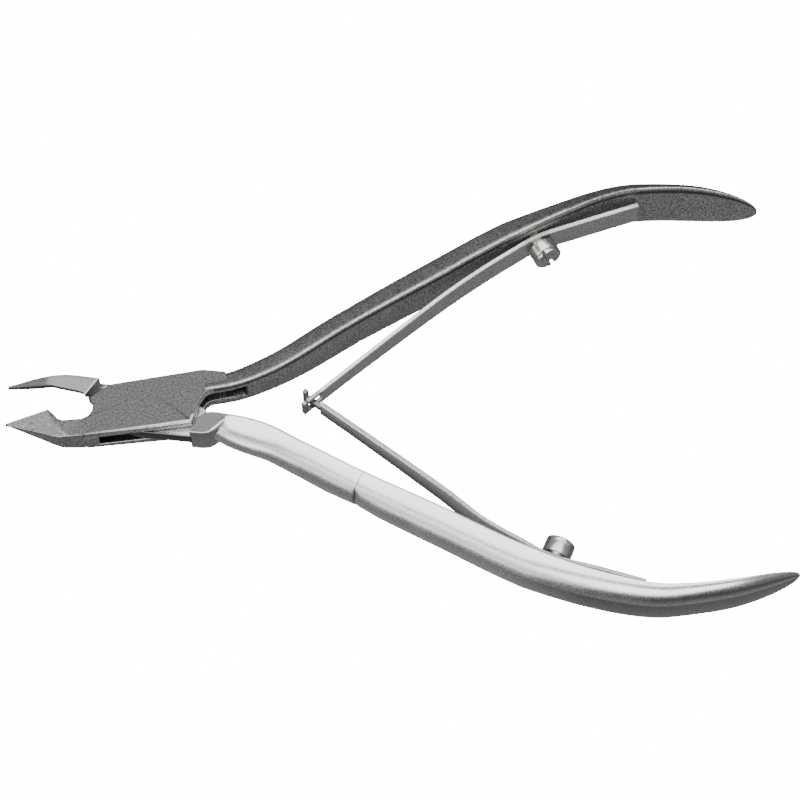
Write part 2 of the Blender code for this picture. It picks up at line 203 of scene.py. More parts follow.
def makePiece(name, parts, material):
    # joins parts into one object in metres, with each vertex's tone, its painted light and shade,
    # as an attribute
    points, corners, sizes, tones = zip(*parts)
    starts = np.cumsum([0] + [len(p) for p in points[:-1]])
    corners = np.concatenate([c + start for c, start in zip(corners, starts)])
    points, sizes, tones = np.vstack(points) * mm, np.concatenate(sizes), np.concatenate(tones)
    mesh = bpy.data.meshes.new(name)
    mesh.vertices.add(len(points))
    mesh.vertices.foreach_set("co", points.ravel().astype(np.float32))
    mesh.loops.add(len(corners))
    mesh.loops.foreach_set("vertex_index", corners.astype(np.int32))
    mesh.polygons.add(len(sizes))
    mesh.polygons.foreach_set("loop_start", (np.cumsum(sizes) - sizes).astype(np.int32))
    mesh.update(calc_edges=True)
    attribute = mesh.attributes.new("paintedShading", "FLOAT", "POINT")
    attribute.data.foreach_set("value", tones.astype(np.float32))
    work = bmesh.new()
    work.from_mesh(mesh)
    bmesh.ops.recalc_face_normals(work, faces=work.faces)
    work.to_mesh(mesh)
    work.free()
    mesh.shade_smooth()
    mesh.set_sharp_from_angle(angle=sharpAngle)
    mesh.materials.append(material)
    piece = bpy.data.objects.new(name, mesh)
    bpy.context.scene.collection.objects.link(piece)
    print("made", name, len(mesh.polygons), "faces")
    return piece


class Wire:
    # a node socket on which sums can be written as Python

    def __init__(self, tree, socket):
        self.tree = tree
        self.socket = socket

    def node(self, kind, settings=None, **inputs):
        # a node of a type, with its settings set first and then its inputs, as values or wires
        item = self.tree.nodes.new(kind)
        for key, value in (settings or {}).items():
            if key == "stops":
                for number, (place, colour) in enumerate(value):
                    stops = item.color_ramp.elements
                    stop = stops[number] if number < len(stops) else stops.new(place)
                    stop.position = place
                    stop.color = colour
            else:
                setattr(item, key, value)
        for key, value in inputs.items():
            numbered = key[0] == "i" and key[1:].isdigit()
            target = item.inputs[int(key[1:]) if numbered else key]
            if isinstance(value, Wire):
                self.tree.links.new(value.socket, target)
            else:
                target.default_value = value
        return item

    def wire(self, item, output=0):
        return Wire(self.tree, item.outputs[output])

    def maths(self, operation, first, second=0.0):
        return self.wire(self.node("ShaderNodeMath", {"operation": operation}, i0=first, i1=second))

    def __add__(self, other):
        return self.maths("ADD", self, other)

    def __sub__(self, other):
        return self.maths("SUBTRACT", self, other)

    def __mul__(self, other):
        return self.maths("MULTIPLY", self, other)


steelLook = {
    "tint": (1.0, 0.985, 0.965, 1.0),
    "grainScale": 3400.0,
    "grain": 1.2,
    "cloudScale": 260.0,
    "cloud": 0.10,
    "roughGrain": 0.12,
    "roughCloud": 0.1,
    "bump": 0.12,
    "bumpDepth": 0.00002,
}


def steelFinish(name, brightness, roughness, grain=1.0):
    # satin steel: the tone attribute of painted light and shade times a brightness, with fine grain
    # and faint clouds over it
    material = bpy.data.materials.new(name)
    material.use_nodes = True
    tree = material.node_tree
    shader = tree.nodes["Principled BSDF"]
    start = Wire(tree, None)
    place = start.wire(start.node("ShaderNodeTexCoord"), 3)
    paintedShading = start.wire(start.node("ShaderNodeAttribute", {"attribute_name": "paintedShading"}), 2)
    noise = "ShaderNodeTexNoise"
    fine = start.wire(start.node(noise, i2=steelLook["grainScale"], i3=2.0, Vector=place))
    cloud = start.wire(start.node(noise, i2=steelLook["cloudScale"], i3=3.0, Vector=place))
    fineSpread = (fine - 0.5) * (2 * steelLook["grain"] * grain)
    spread = fineSpread + (cloud - 0.5) * (2 * steelLook["cloud"]) + 1.0
    value = paintedShading * brightness * spread
    colour = start.node(
        "ShaderNodeMix", {"data_type": "RGBA"}, i0=value, i6=(0, 0, 0, 1), i7=steelLook["tint"]
    )
    tree.links.new(colour.outputs[2], shader.inputs["Base Color"])
    fineRough = (fine - 0.5) * steelLook["roughGrain"]
    rough = fineRough + (cloud - 0.5) * steelLook["roughCloud"] + roughness
    tree.links.new(rough.socket, shader.inputs["Roughness"])
    strength = steelLook["bump"] * grain
    bump = start.node(
        "ShaderNodeBump", Strength=strength, Distance=steelLook["bumpDepth"], Height=fine
    )
    tree.links.new(bump.outputs[0], shader.inputs["Normal"])
    shader.inputs["Metallic"].default_value = 1.0
    return material


# the two halves are one steel: the box side's brightness of 0.42 is painted shade and the tongue
# side's 0.8 is painted light; their roughness and grain differ as well
boxSideShadedFinish = steelFinish("forgedSatinPaintedShade", 0.42, 0.42)
tongueSideLitFinish = steelFinish("polishedSatinPaintedLight", 0.8, 0.26, grain=0.35)
springFinish = steelFinish("springSatin", 0.55, 0.34, grain=0.6)
screwFinish = steelFinish("screwBright", 0.7, 0.24, grain=0.2)


handles = {
    "weld": 33.6,
    "front": [(9.0, 0.35), (14.3, 0.42), (19.2, 1.45)],
    "shank": {1: [(24.4, 3.3), (33.6, 7.4)], -1: [(24.4, 3.8), (33.6, 7.7)]},
    "shares": [0.186, 0.36, 0.514, 0.653, 0.748, 0.866, 1.0],
    "rear": {
        1: [12.0, 16.3, 19.3, 21.3, 21.2, 19.7, 16.9],
        -1: [12.1, 16.4, 19.4, 20.9, 20.5, 18.8, 15.8],
    },
    "length": {1: 97.0, -1: 96.0},
    "creaseRadius": 0.1,
    "weldSlant": 0.6,
    "slotDepth": 1.5,
    "shoulderSwell": 0.75,
    "slotEnd": 15.4,
    "roundEnd": 12.0,
    "tipRun": 13.0,
    "startDraw": 0.35,
    "swellAt": 16.5,
    "swellReach": 5.0,
    "slantReach": 4.0,
    "slotHalf": 0.44,
    # painted light and shade for the two handles, multiplied into their colour
    "upperPaintedShade": {
        "base": 1.25, "inner": 0.9, "crease": 0.4, "back": 0.9, "far": 0.6, "gapShadow": 0.85,
        "slot": 0.06,
    },
    "lowerPaintedShade": {"base": 1.22, "line": 0.8, "weld": 0.6, "under": 0.55, "rim": 0.6},
    "thickness": ([9.0, 13.0, 18.0, 30.0], [3.4, 3.75, 4.1, 4.4]),
    "thinning": ([0.0, 0.15, 0.4, 0.63, 0.79, 1.0], [0.4, 0.1, 0.0, 1.3, 2.2, 2.9]),
    "width": ([12.0, 20.0, 28.0], [4.9, 5.3, 6.6]),
    "widening": ([0.0, 0.35, 0.6, 0.72], [0.15, 0.5, 1.0, 1.0]),
    "fullWidening": 2.9,
}


def handlePath(side):
    # the inner face of one handle in plan, for a closed nipper, with y measured outwards
    rearLength = handles["length"][side] - handles["weld"]
    xs = [handles["weld"] + share * rearLength for share in handles["shares"]]
    rearPoints = list(zip(xs, handles["rear"][side]))
    return smoothPath(handles["front"] + handles["shank"][side] + rearPoints, 16)


def handleSizes(x, length):
    # thickness away from the inner face, and width along Z, at distances x from the pivot. Each
    # follows its stations near the joint and a change over the share of the rear part, and both
    # fall to nothing over the round end like the square root of one less a power
    share = (x - handles["weld"]) / (length - handles["weld"])
    thick = eased(x, *handles["thickness"]) - np.interp(share, *handles["thinning"])
    widening = handles["fullWidening"] * np.interp(share, *handles["widening"])
    wide = eased(x, *handles["width"]) + widening
    near = np.clip((x - (length - handles["roundEnd"])) / handles["roundEnd"], 0.0, 0.995)
    return thick * (1 - near**2) ** 0.5, wide * (1 - near**2.2) ** 0.5


def sectionProfile():
    # the closed section of a handle in shares: a flat inner face and a half ellipse, with soft
    # creases between them
    turn = np.linspace(-math.pi / 2, math.pi / 2, 41)[1:-1]
    roundBack = np.column_stack([np.cos(turn), np.sin(turn)])
    corner = handles["creaseRadius"]
    flat = np.linspace(1 - corner, -1 + corner, 31)
    upper, lower = (0.03, 1 - corner * 0.25), (0.03, -1 + corner * 0.25)
    return np.vstack([[upper], np.column_stack([0 * flat, flat]), [lower], roundBack])[::-1]


def handlePart(side, start, stop, toneOf, startInset=0.0, stopInset=0.0, rows=110, grow=0.0):
    # the section carried along the inner face line. An inset draws the very end in, as at a weld
    # groove, and a section that grows comes up to size over that length from its start
    path = handlePath(side)
    length = handles["length"][side]
    if stop >= length:
        tip = stop - handles["tipRun"] * np.linspace(1, 0, 50) ** 1.8
        xs = np.unique(np.concatenate([np.linspace(start, stop - handles["tipRun"], rows), tip]))
    else:
        xs = np.linspace(start, stop, rows)
    inner = np.column_stack([xs, np.interp(xs, path[:, 0], path[:, 1])])
    ahead, behind = np.minimum(xs + 0.5, path[-1, 0]), xs - 0.5
    rise = np.interp(ahead, path[:, 0], path[:, 1]) - np.interp(behind, path[:, 0], path[:, 1])
    normal = np.column_stack([-rise, ahead - behind])
    normal = normal / np.linalg.norm(normal, axis=1)[:, None]
    thick, wide = handleSizes(xs, length)
    if side < 0:
        swell = bell(xs, handles["swellAt"], handles["swellReach"])
        thick = thick + handles["shoulderSwell"] * swell
    profile = sectionProfile()
    away, level = profile[:, 0], profile[:, 1]
    shrink = np.ones((len(xs), len(level)))
    shrink[0] -= startInset * (level < 0.6)
    if grow:
        left = 1 - rising(xs, start, grow)
        shrink *= 1 - handles["startDraw"] * left[:, None] ** 2
    shrink[-1] -= stopInset * (level < 0.6)
    middle = thick[:, None] * 0.5
    reach = middle + (away[None, :] * thick[:, None] - middle) * shrink
    if side > 0:
        inSlot = (away < 0.01) & (np.abs(level) < handles["slotHalf"])
        reach += handles["slotDepth"] * inSlot[None, :] * (xs < handles["slotEnd"])[:, None]
    plan = inner[:, None, :] + normal[:, None, :] * reach[:, :, None]
    if side < 0:
        near = 1 - rising(np.abs(xs - handles["weld"]), 0.0, handles["slantReach"])
        lean = handles["weldSlant"] * near[:, None]
        plan[:, :, 0] += lean * np.clip(0.7 - level, 0.0, 1.4)[None, :]
    plan[:, :, 1] *= side
    z = middleZ + level[None, :] * wide[:, None] / 2 * shrink
    grid = np.concatenate([plan, z[:, :, None]], axis=2)
    tones = toneOf(xs[:, None], away[None, :], level[None, :])
    return gridPart(grid, np.broadcast_to(tones, grid.shape[:2]))


def upperHandlePaintedShading(x, away, level):
    # painted shading: the inner face painted a little darker, a painted highlight along each
    # crease, a painted dark strip behind it that grows lighter over the round back, a dark line of
    # painted shadow near the upper edge beside the leaf, and the slot painted black as painted
    # shade
    shade = handles["upperPaintedShade"]
    face = np.where(away < 0.02, shade["inner"], 1.0) * shade["base"]
    crease = shade["crease"] * bell(away, 0.03, 0.03) * (np.abs(level) > 0.8)
    back = shade["far"] * rising(away, 0.2, 0.4) - shade["back"] * rising(away, 0.05, 0.05)
    gapShadow = shade["gapShadow"] * ((away < 0.01) & (level > 0.7) & (level < 0.86))
    inSlot = (away < 0.01) & (np.abs(level) < 0.48) & (x < handles["slotEnd"] + 0.2)
    return (face + crease + back - gapShadow) * np.where(inSlot, shade["slot"], 1.0)


def lowerHandlePaintedShading(x, away, level):
    # painted shading: bright all over as painted light, with a grey painted reflection band along
    # the upper back, a dark line of painted shade in the weld groove on the lower part, painted
    # shade making it about half as bright below towards the rear, and a dark rim of painted shade
    # on the upper crease near the end
    shade = handles["lowerPaintedShade"]
    line = shade["line"] * bell(away, 0.73, 0.12) * (level > 0)
    weld = shade["weld"] * bell(x, handles["weld"], 0.25) * (away > 0.1) * (level < 0.75)
    under = shade["under"] * rising(x, 55.0, 12.0) * (level < 0.4)
    rim = shade["rim"] * bell(away, 0.02, 0.03) * rising(x, 68.0, 3.0) * (level > 0)
    return (shade["base"] - line) * (1.0 - weld) * (1.0 - under) * (1.0 - rim)


weldAt = handles["weld"]
upperShank = handlePart(1, 9.6, weldAt - 0.02, upperHandlePaintedShading, stopInset=0.03, rows=70)
upperGripPart = handlePart(1, weldAt + 0.02, handles["length"][1], upperHandlePaintedShading, startInset=0.03)
lowerShank = handlePart(-1, 10.8, weldAt - 0.04, lowerHandlePaintedShading, stopInset=0.06, rows=90, grow=3.0)
lowerGripPart = handlePart(-1, weldAt + 0.04, handles["length"][-1], lowerHandlePaintedShading, startInset=0.05)

upperGripParts = [turned(upperGripPart, boxTurn)]
upperGrip = makePiece("upperHandleGrip", upperGripParts, boxSideShadedFinish)
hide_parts("upper_grip")
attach(upperGrip, "box_side")
lowerGripParts = [turned(lowerGripPart, tongueTurn)]
lowerGrip = makePiece("lowerHandleGrip", lowerGripParts, tongueSideLitFinish)
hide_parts("lower_grip")
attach(lowerGrip, "tongue_side")


jaws = {
    "length": 19.6,
    "heelX": -13.2,
    "tipZ": 4.7,
    "jointZ": 5.0,
    "land": 0.35,
    "edgeDepth": 0.45,
    "slope": 0.09,
    "slantFrom": -9.5,
    "floorFrom": 2.5,
    "floorPower": 1.8,
    "fillReach": 3.0,
    "least": 0.15,
    "rows": 150,
    "sections": [40, 8, 6, 10, 3],
    "softness": [0.0, 0.12, 0.15, 0.1, 0.0],
    # painted light and shade for the two jaws, multiplied into their colour
    "lowerPaintedShade": {"base": 0.33, "ground": 0.5, "low": 0.9, "heel": 0.6, "rim": 1.0, "under": 0.7},
    "upperPaintedShade": {
        "tip": 0.13, "heel": 0.15, "meetingShade": 0.07, "end": 0.4, "edge": 0.05, "rim": 1.0, "under": 0.25
    },
}


def jawFloor(x, y=0.0):
    # the underside: level at the joint, rising to just under the tip by a power of the reach
    reach = rising(-x, jaws["floorFrom"], jaws["length"] - jaws["floorFrom"])
    return (jaws["tipZ"] - jaws["land"]) * reach ** jaws["floorPower"]


def jawPart(edgeLine, rimLine, start, toneOf, crease, fillStart, underDepth=0.0, rearLine=None):
    # each section runs from the cutting edge over the ground face to the rim, down to the floor and
    # back under the edge. The top is flat up to the crease, a line in plan, and slopes evenly down
    # past it. A rear line, two points in plan, slants the rear end
    edgePath = np.array(edgeLine, float)
    rimPath = np.array(rimLine, float)
    xs = np.linspace(start, -jaws["length"], jaws["rows"])
    edge = np.interp(-xs, -edgePath[:, 0], edgePath[:, 1])
    rim = np.interp(-xs, -rimPath[:, 0], rimPath[:, 1])
    share = rising(xs, jaws["heelX"], -jaws["length"] - jaws["heelX"])
    fill = rising(xs, fillStart, jaws["fillReach"])
    (ax, ay), (bx, by) = crease
    lineLength = math.hypot(bx - ax, by - ay)

    def topZ(x, y):
        past = ((by - ay) * (x - ax) - (bx - ax) * (y - ay)) / lineLength
        rise = 0.2 * np.clip(1 + past / 3.0, 0.0, 1.0)
        return jaws["jointZ"] + rise - jaws["slope"] * np.maximum(past, 0.0)

    edgeZ = topZ(xs, edge)
    depth = jaws["edgeDepth"] + underDepth * np.sin(math.pi * (0.25 + 0.75 * share))
    floor = np.minimum(jawFloor(xs), edgeZ - depth - 0.1)
    rimZ = np.maximum(topZ(xs, rim), floor + jaws["least"])
    underZ = np.maximum(edgeZ - depth - fill * jaws["jointZ"], floor)
    toe = edge + (rim - edge) * (0.8 - 0.78 * fill)
    toeZ = floor + (edgeZ - depth - floor) * 0.15 * (1 - fill)
    corners = np.stack(
        [
            np.column_stack([edge, edgeZ]),
            np.column_stack([rim, rimZ]),
            np.column_stack([rim, floor]),
            np.column_stack([toe, toeZ]),
            np.column_stack([edge, underZ]),
        ],
        axis=1,
    )
    counts, softness = jaws["sections"], jaws["softness"]
    section = []
    cross = []
    for i in range(5):
        a, b = corners[:, i], corners[:, (i + 1) % 5]
        gap = np.maximum(np.linalg.norm(b - a, axis=1)[:, None], 1e-6)
        s0 = np.minimum(softness[i] / gap, 0.3)
        s1 = 1 - np.minimum(softness[(i + 1) % 5] / gap, 0.3)
        for t in np.linspace(0, 1, counts[i] + 1)[: -1 if softness[(i + 1) % 5] == 0 else None]:
            s = s0 + (s1 - s0) * t
            section.append(a + (b - a) * s)
            cross.append((i, t))
    section = np.stack(section, axis=1)
    x = np.repeat(xs[:, None], section.shape[1], axis=1)
    onTop = np.array([c[0] == 0 and 0.03 < c[1] < 0.97 for c in cross])
    topHeight = topZ(x[:, onTop], section[:, onTop, 0])
    section[:, onTop, 1] = np.maximum(topHeight, (floor + jaws["least"])[:, None])
    if rearLine is not None:
        (rx, ry), (qx, qy) = rearLine
        limit = rx + (section[:, :, 0] - ry) * (qx - rx) / (qy - ry)
        hold = jaws["slantFrom"]
        span = rising(xs, hold, xs[0] - hold)
        x = x + (np.minimum(limit, xs[0]) - xs[0]) * span[:, None]
    grid = np.concatenate([x[:, :, None], section], axis=2)
    which = np.array([c[0] for c in cross])
    place = np.array([c[1] for c in cross])
    tones = toneOf(x, section[:, :, 0], which[None, :], place[None, :])
    return gridPart(grid, np.broadcast_to(tones, x.shape))


def lowerJawPaintedShading(x, y, face, place):
    # painted shading: the ground face painted light as a painted reflection, ending on a curve from
    # the heel to the rim, with painted shade under the heel and a painted highlight below; the top
    # is painted darker than the rim face, and the faces beneath darker as painted shade
    shade = jaws["lowerPaintedShade"]
    past = x - np.interp(y, [-3.9, -1.55, 0.7, 1.3], [-11.0, -12.5, -13.1, -13.2])
    low = rising(-y, -0.2, 2.5)
    end = bell(past, 0.2, 0.25) * (shade["low"] * low - shade["heel"] * (1 - low))
    top = shade["base"] * (1.0 + shade["ground"] * stepUp(-past, 0.0, 0.08) + end)
    return np.where(face == 0, top, np.where(face == 1, shade["rim"], shade["under"]))


def upperJawPaintedShading(x, y, face, place):
    # painted shading: the ground face painted dark towards the tip and light towards the heel, with
    # a dark spot of painted shade where the two meet, a darker edge of painted shade, and a painted
    # highlight line at its end; the faces beneath are painted dark as painted shade
    shade = jaws["upperPaintedShade"]
    past = x + 13.9 + 0.5 * (y - 1.5)
    top = shade["tip"] + shade["heel"] * stepUp(past, 0.0, 0.15)
    top = top - shade["meetingShade"] * bell(past, 0.0, 0.35) * (y > 1.9)
    top = top + shade["end"] * bell(x, -8.05 + 0.52 * (y - 0.9), 0.16)
    top = top - shade["edge"] * (place > 0.85)
    return np.where(face == 0, top, np.where(face == 1, shade["rim"], shade["under"]))


boxEdge = [
    (-7.9, -0.95), (-8.8, -0.95), (-11.4, -0.8), (-12.0, -0.45), (-12.4, 0.2), (-13.2, 1.3),
    (-19.6, 0.35),
]
boxRim = [(-7.9, -3.7), (-12.0, -3.45), (-13.2, -2.95), (-14.8, -2.1), (-17.5, -0.8), (-19.6, 0.2)]
boxJaw = jawPart(boxEdge, boxRim, -8.78, lowerJawPaintedShading, ((-13.2, 1.3), (-11.2, -3.9)), -10.5)
tongueEdge = [(-5.8, 0.45), (-7.0, 0.85), (-9.5, 1.08), (-11.3, 1.25), (-13.2, 1.45), (-19.6, 0.5)]
tongueRim = [
    (-6.0, 3.5), (-10.2, 3.6), (-11.7, 3.5), (-13.2, 3.15), (-15.85, 2.35), (-18.4, 1.3),
    (-19.6, 0.85),
]
tongueCrease = ((-13.6, 4.0), (-13.6, 0.0))
rearEnd = ((-7.95, 0.9), (-6.6, 3.5))
tongueJaw = jawPart(
    tongueEdge, tongueRim, -5.8, upperJawPaintedShading, tongueCrease, -5.8, underDepth=0.5, rearLine=rearEnd
)


joint = {
    "halfWidth": 3.9,
    "web": 1.9,
    "clearance": 0.1,
    "rearArc": 8.3,
    "gap": 0.3,
    "rivetRadius": 1.98,
    "top": 5.0,
    # the top of the joint plate, and the rivet with it, painted dark as painted shade
    "plateTopPaintedShade": 0.27,
}


def arcPoints(radius, start, stop, steps):
    turn = np.radians(np.linspace(start, stop, steps))
    return list(zip(radius * np.cos(turn), radius * np.sin(turn)))


half = joint["halfWidth"]
slotLow = middleZ - joint["web"] / 2 - joint["clearance"]
slotHigh = middleZ + joint["web"] / 2 + joint["clearance"]
throat = [(-8.8, -0.95), (-7.7, -0.65), (-7.1, -0.05), (-6.8, 0.8), (-6.85, 1.6), (-7.1, 2.2)]
bump = [(-3.9, half), (9.6, half), (10.4, half - 0.2)]
root = [(12.9, 3.1), (13.9, 0.4), (10.9, 0.35), (10.1, 0.3), (9.4, -0.05), (8.9, -0.7)]
rear = arcPoints(joint["rearArc"], -11, -32.8, 9)
boxOutline = softOutline(throat + bump + root + rear + [(-8.8, -3.65)], 0.35)


def plateEdge(x, y):
    # wider along the slot side and over the shank, sharp where the plate runs on into the jaw
    slotSide = 0.38 * rising(x, -8.8, 4.0) * (y < -3.3)
    shank = 0.3 * rising(x, 10.0, 2.5) * (y > 0.6)
    return np.where(x < -8.6, 0.001, 0.12 + slotSide + shank)


def plateWallPaintedLight(x, y):
    # brighter towards the rear along the slot: painted light on the wall
    return 1.0 + 0.8 * rising(x, -8.0, 5.0)


def plateRimPaintedLight(x, y):
    # a painted highlight along the rim on the slot side that grows towards the rear, and painted
    # darker elsewhere
    return np.where(y < -3.0, 0.75 + 0.7 * rising(x, -7.0, 6.0), 0.5)


def bottomTop(x, y):
    # level with the floor of the slot, and just above the underside where that rises to the jaw
    return np.maximum(slotLow, jawFloor(x) + 0.2)


def bottomPaintedShade(x, y):
    # painted dark inside the slot as painted shade, and painted light where it shows past the rear
    # of the top plate
    return 0.1 + 0.4 * stepUp(x, 8.0, 0.2)


plateMiddle = (2.0, 1.5)
topPlate = platePart(
    boxOutline, slotHigh, joint["top"], edge=plateEdge, wallTone=plateWallPaintedLight, rimTone=plateRimPaintedLight,
    topTone=joint["plateTopPaintedShade"], centre=plateMiddle,
)
bottomPlate = platePart(
    boxOutline, jawFloor, bottomTop, edge=0.12, topTone=bottomPaintedShade, centre=plateMiddle, rings=12
)
rearWall = [(0.9, half), (9.6, half), (10.4, half - 0.2), (13.0, 2.1), (12.5, 1.0)]
rearWall = softOutline(rearWall + [(0.9, half - 0.4)], 0.2)
# the slot's rear wall painted dark as painted shade
boxWall = platePart(rearWall, slotLow - 0.1, slotHigh + 0.1, edge=0.05, paintedShading=0.3)
frontWall = softOutline([(-8.8, -0.95), (-6.65, -0.6), (-6.65, -3.75), (-8.8, -3.65)], 0.1)
boxFront = platePart(frontWall, slotLow - 0.1, slotHigh + 0.1, edge=0.05, paintedShading=1.0)
boxParts = [topPlate, bottomPlate, boxWall, boxFront, boxJaw, upperShank]
boxParts = [turned(part, boxTurn) for part in boxParts]
boxHalf = makePiece("boxHalfForging", boxParts, boxSideShadedFinish)
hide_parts("box_half")
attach(boxHalf, "box_side")

webOutline = [
    (-8.2, 1.2), (-8.2, 3.2), (-6.5, 3.4), (0.2, 3.3), (8.0, 1.5), (9.4, 0.8), (10.2, -0.6),
    (9.6, -3.0), (8.9, -half), (-3.8, -half), (-6.0, -2.2), (-6.3, -0.4), (-7.6, 0.6),
]


def webPaintedShading(x, y):
    # painted light where the web stands out past the box and in the gap behind the box's rear arc,
    # a painted highlight along the strip behind the upper jaw, and painted shade where the box
    # covers it
    c, s = math.cos(boxTurn - tongueTurn), math.sin(boxTurn - tongueTurn)
    past = -half - (y * c - x * s)
    filletHighlight = (x > -5.9) * (x < -4.2) * (y > 2.6)
    outside = np.hypot(x, y) > 8.3
    uncovered = 0.5 * stepUp(past, 0.15, 0.08) * (x < 8.2)
    return 0.08 + uncovered + 0.6 * filletHighlight + 0.35 * outside


webHalf = joint["web"] / 2
# the web's walls are painted dark as painted shade in the slot
web = platePart(
    softOutline(webOutline, 0.3), middleZ - webHalf, middleZ + webHalf, edge=0.1, wallTone=0.15,
    topTone=webPaintedShading, rings=24,
)
rearRadius = joint["rearArc"] + joint["gap"]
shoulderOutline = arcPoints(rearRadius, -27.0, -11.0, 7)
shoulderOutline += [(9.25, -0.85), (9.8, -0.4), (10.6, -0.2), (13.6, -0.35)]
shoulderOutline += [(12.0, -2.6), (10.8, -3.6), (9.6, -half)]


def shoulderEdge(x, y):
    # a wide fillet where the shoulder runs out into the handle
    return 0.12 + 0.4 * rising(x, 10.2, 1.6) * rising(-y, 0.4, 0.8)


def shoulderRimPaintedLight(x, y):
    # painted light: brighter along the lower side, and at the rear where the handle starts
    return 0.17 + 0.5 * (y < -3.0) + 0.6 * (x > 11.0)


# the shoulder's top painted dark as painted shade, and its walls painted lighter as painted light
shoulder = platePart(
    softOutline(shoulderOutline, 0.4), 0.0, joint["top"], edge=shoulderEdge, paintedShading=0.17,
    wallTone=0.6, rimTone=shoulderRimPaintedLight, centre=(10.3, -2.2),
)
tongueParts = [turned(part, tongueTurn) for part in (web, shoulder, tongueJaw, lowerShank)]
tongueHalf = makePiece("tongueHalfForging", tongueParts, tongueSideLitFinish)
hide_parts("tongue_half")
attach(tongueHalf, "tongue_side")

circle = np.array(arcPoints(joint["rivetRadius"], 0, 360, 65)[:-1])
# the rivet carries the plate top's painted shade
rivetPart = platePart(circle, -0.005, joint["top"] + 0.005, edge=0.01, paintedShading=joint["plateTopPaintedShade"])
rivetParts = [turned(rivetPart, boxTurn)]
rivet = makePiece("pivotRivetFlush", rivetParts, boxSideShadedFinish)
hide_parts("pivot_rivet")
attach(rivet, "box_side")


leaves = {
    "thick": 0.7,
    "chamfer": 0.1,
    "widths": ([1.0, 9.0, 20.0, 30.0], [3.0, 3.2, 3.8, 4.3]),
    "tipWidth": 3.0,
    "seatGap": 0.3,
    "flexRoom": 0.09,
    "window": 1.8,
    "windowSpan": (0.8, 3.4),
    "neck": 1.2,
    "neckLength": 2.6,
    "teeWidth": 4.0,
    "teeLength": 0.6,
    "screwX": {1: 62.8, -1: 61.2},
    "tailX": {1: 79.0, -1: 74.4},
    "run": {
        1: [(23.2, -3.95), (34.6, 2.95), (46.0, 9.65)],
        -1: [(23.25, -5.02), (34.6, 1.95), (45.0, 8.55)],
    },
}


def seatPoint(side, x, gap):
    # the middle of a leaf whose back stands a gap off the inner face of its handle
    path = handlePath(side)
    y = np.interp([x - 0.5, x, x + 0.5], path[:, 0], path[:, 1])
    slope = y[2] - y[0]
    away = (gap + leaves["thick"] / 2) / math.hypot(1.0, slope)
    return (x + away * slope, y[1] - away), slope


def leafPath(side):
    # from the hooked tip straight to the handle, then a little off its inner face to the tail
    screwX, tailX = leaves["screwX"][side], leaves["tailX"][side]
    gap = leaves["seatGap"]
    seats = [(screwX - ahead, gap + leaves["flexRoom"] * ahead) for ahead in (11.0, 5.0)]
    seats += [(screwX, gap), (screwX + 6.5, 0.9), (tailX, 0.7)]
    path = smoothPath(leaves["run"][side] + [seatPoint(side, x, g)[0] for x, g in seats], 16)
    return path, pathLength(path)


def stripPart(
    side, path, length, start, stop, lowOf, highOf, highTone=1.2, lowTone=1.2, topTone=None,
    step=0.4,
):
    # a strip on its edge along the path from start to stop, between two heights, with its long
    # edges cut off at 45 degrees. Its tones are painted light and shade: highTone at the upper
    # corners, lowTone at the lower, so the faces shade between them, and topTone on the top face
    count = max(4, int((stop - start) / step))
    stations = np.linspace(start, stop, count)
    points = along(path, length, stations)
    run = along(path, length, stations + 0.3) - along(path, length, stations - 0.3)
    run = run / np.linalg.norm(run, axis=1)[:, None]
    out = np.stack([-run[:, 1], run[:, 0]], axis=1)
    t = leaves["thick"]
    low = np.broadcast_to(lowOf(stations) if callable(lowOf) else lowOf, stations.shape)
    high = np.broadcast_to(highOf(stations) if callable(highOf) else highOf, stations.shape)
    c = leaves["chamfer"]
    across = np.array([-t / 2, -t / 2, -t / 2 + c, t / 2 - c, t / 2, t / 2, t / 2 - c, -t / 2 + c])
    lift = np.array([c, -c, 0, 0, -c, c, 0, 0])
    atTop = np.array([0, 1, 1, 1, 1, 0, 0, 0])
    z = low[:, None] * (1 - atTop) + high[:, None] * atTop + lift[None, :]
    z = z + middleZ
    plan = points[:, None, :] + out[:, None, :] * across[None, :, None]
    plan[:, :, 1] *= side
    grid = np.concatenate([plan, z[:, :, None]], axis=2)
    tones = np.where(atTop == 1, highTone, lowTone).astype(float)
    if topTone is not None:
        tones[[2, 3]] = topTone
    return gridPart(grid, np.broadcast_to(tones, grid.shape[:2]))


def leafTop(stations):
    # half the width, which grows from the hooked tip to the full leaf
    return np.interp(stations, *leaves["widths"]) / 2


def leafFoot(stations):
    return -leafTop(stations)


upperPath, upperLength = leafPath(1)
upperRun = (1, upperPath, upperLength)
spanStart, spanStop = leaves["windowSpan"]
hole = leaves["window"] / 2
tip = leaves["tipWidth"] / 2
# painted light and shade on the upper leaf: a painted highlight on its top face, and the hooked tip
# painted darker
upperStrips = [
    stripPart(*upperRun, spanStop - 0.05, upperLength[-1], leafFoot, leafTop, topTone=1.5),
    stripPart(*upperRun, 0.0, spanStart, -tip, tip, 0.7, 0.7),
    stripPart(*upperRun, spanStart - 0.2, spanStop + 0.1, hole, tip, 0.7, 0.7),
    stripPart(*upperRun, spanStart - 0.2, spanStop + 0.1, -tip, -hole, 0.6, 0.6),
]
lowerPath, lowerLength = leafPath(-1)
lowerRun = (-1, lowerPath, lowerLength)
tee = leaves["teeLength"]
teeHalf, neckHalf = leaves["teeWidth"] / 2, leaves["neck"] / 2
neckEnd = tee + leaves["neckLength"]
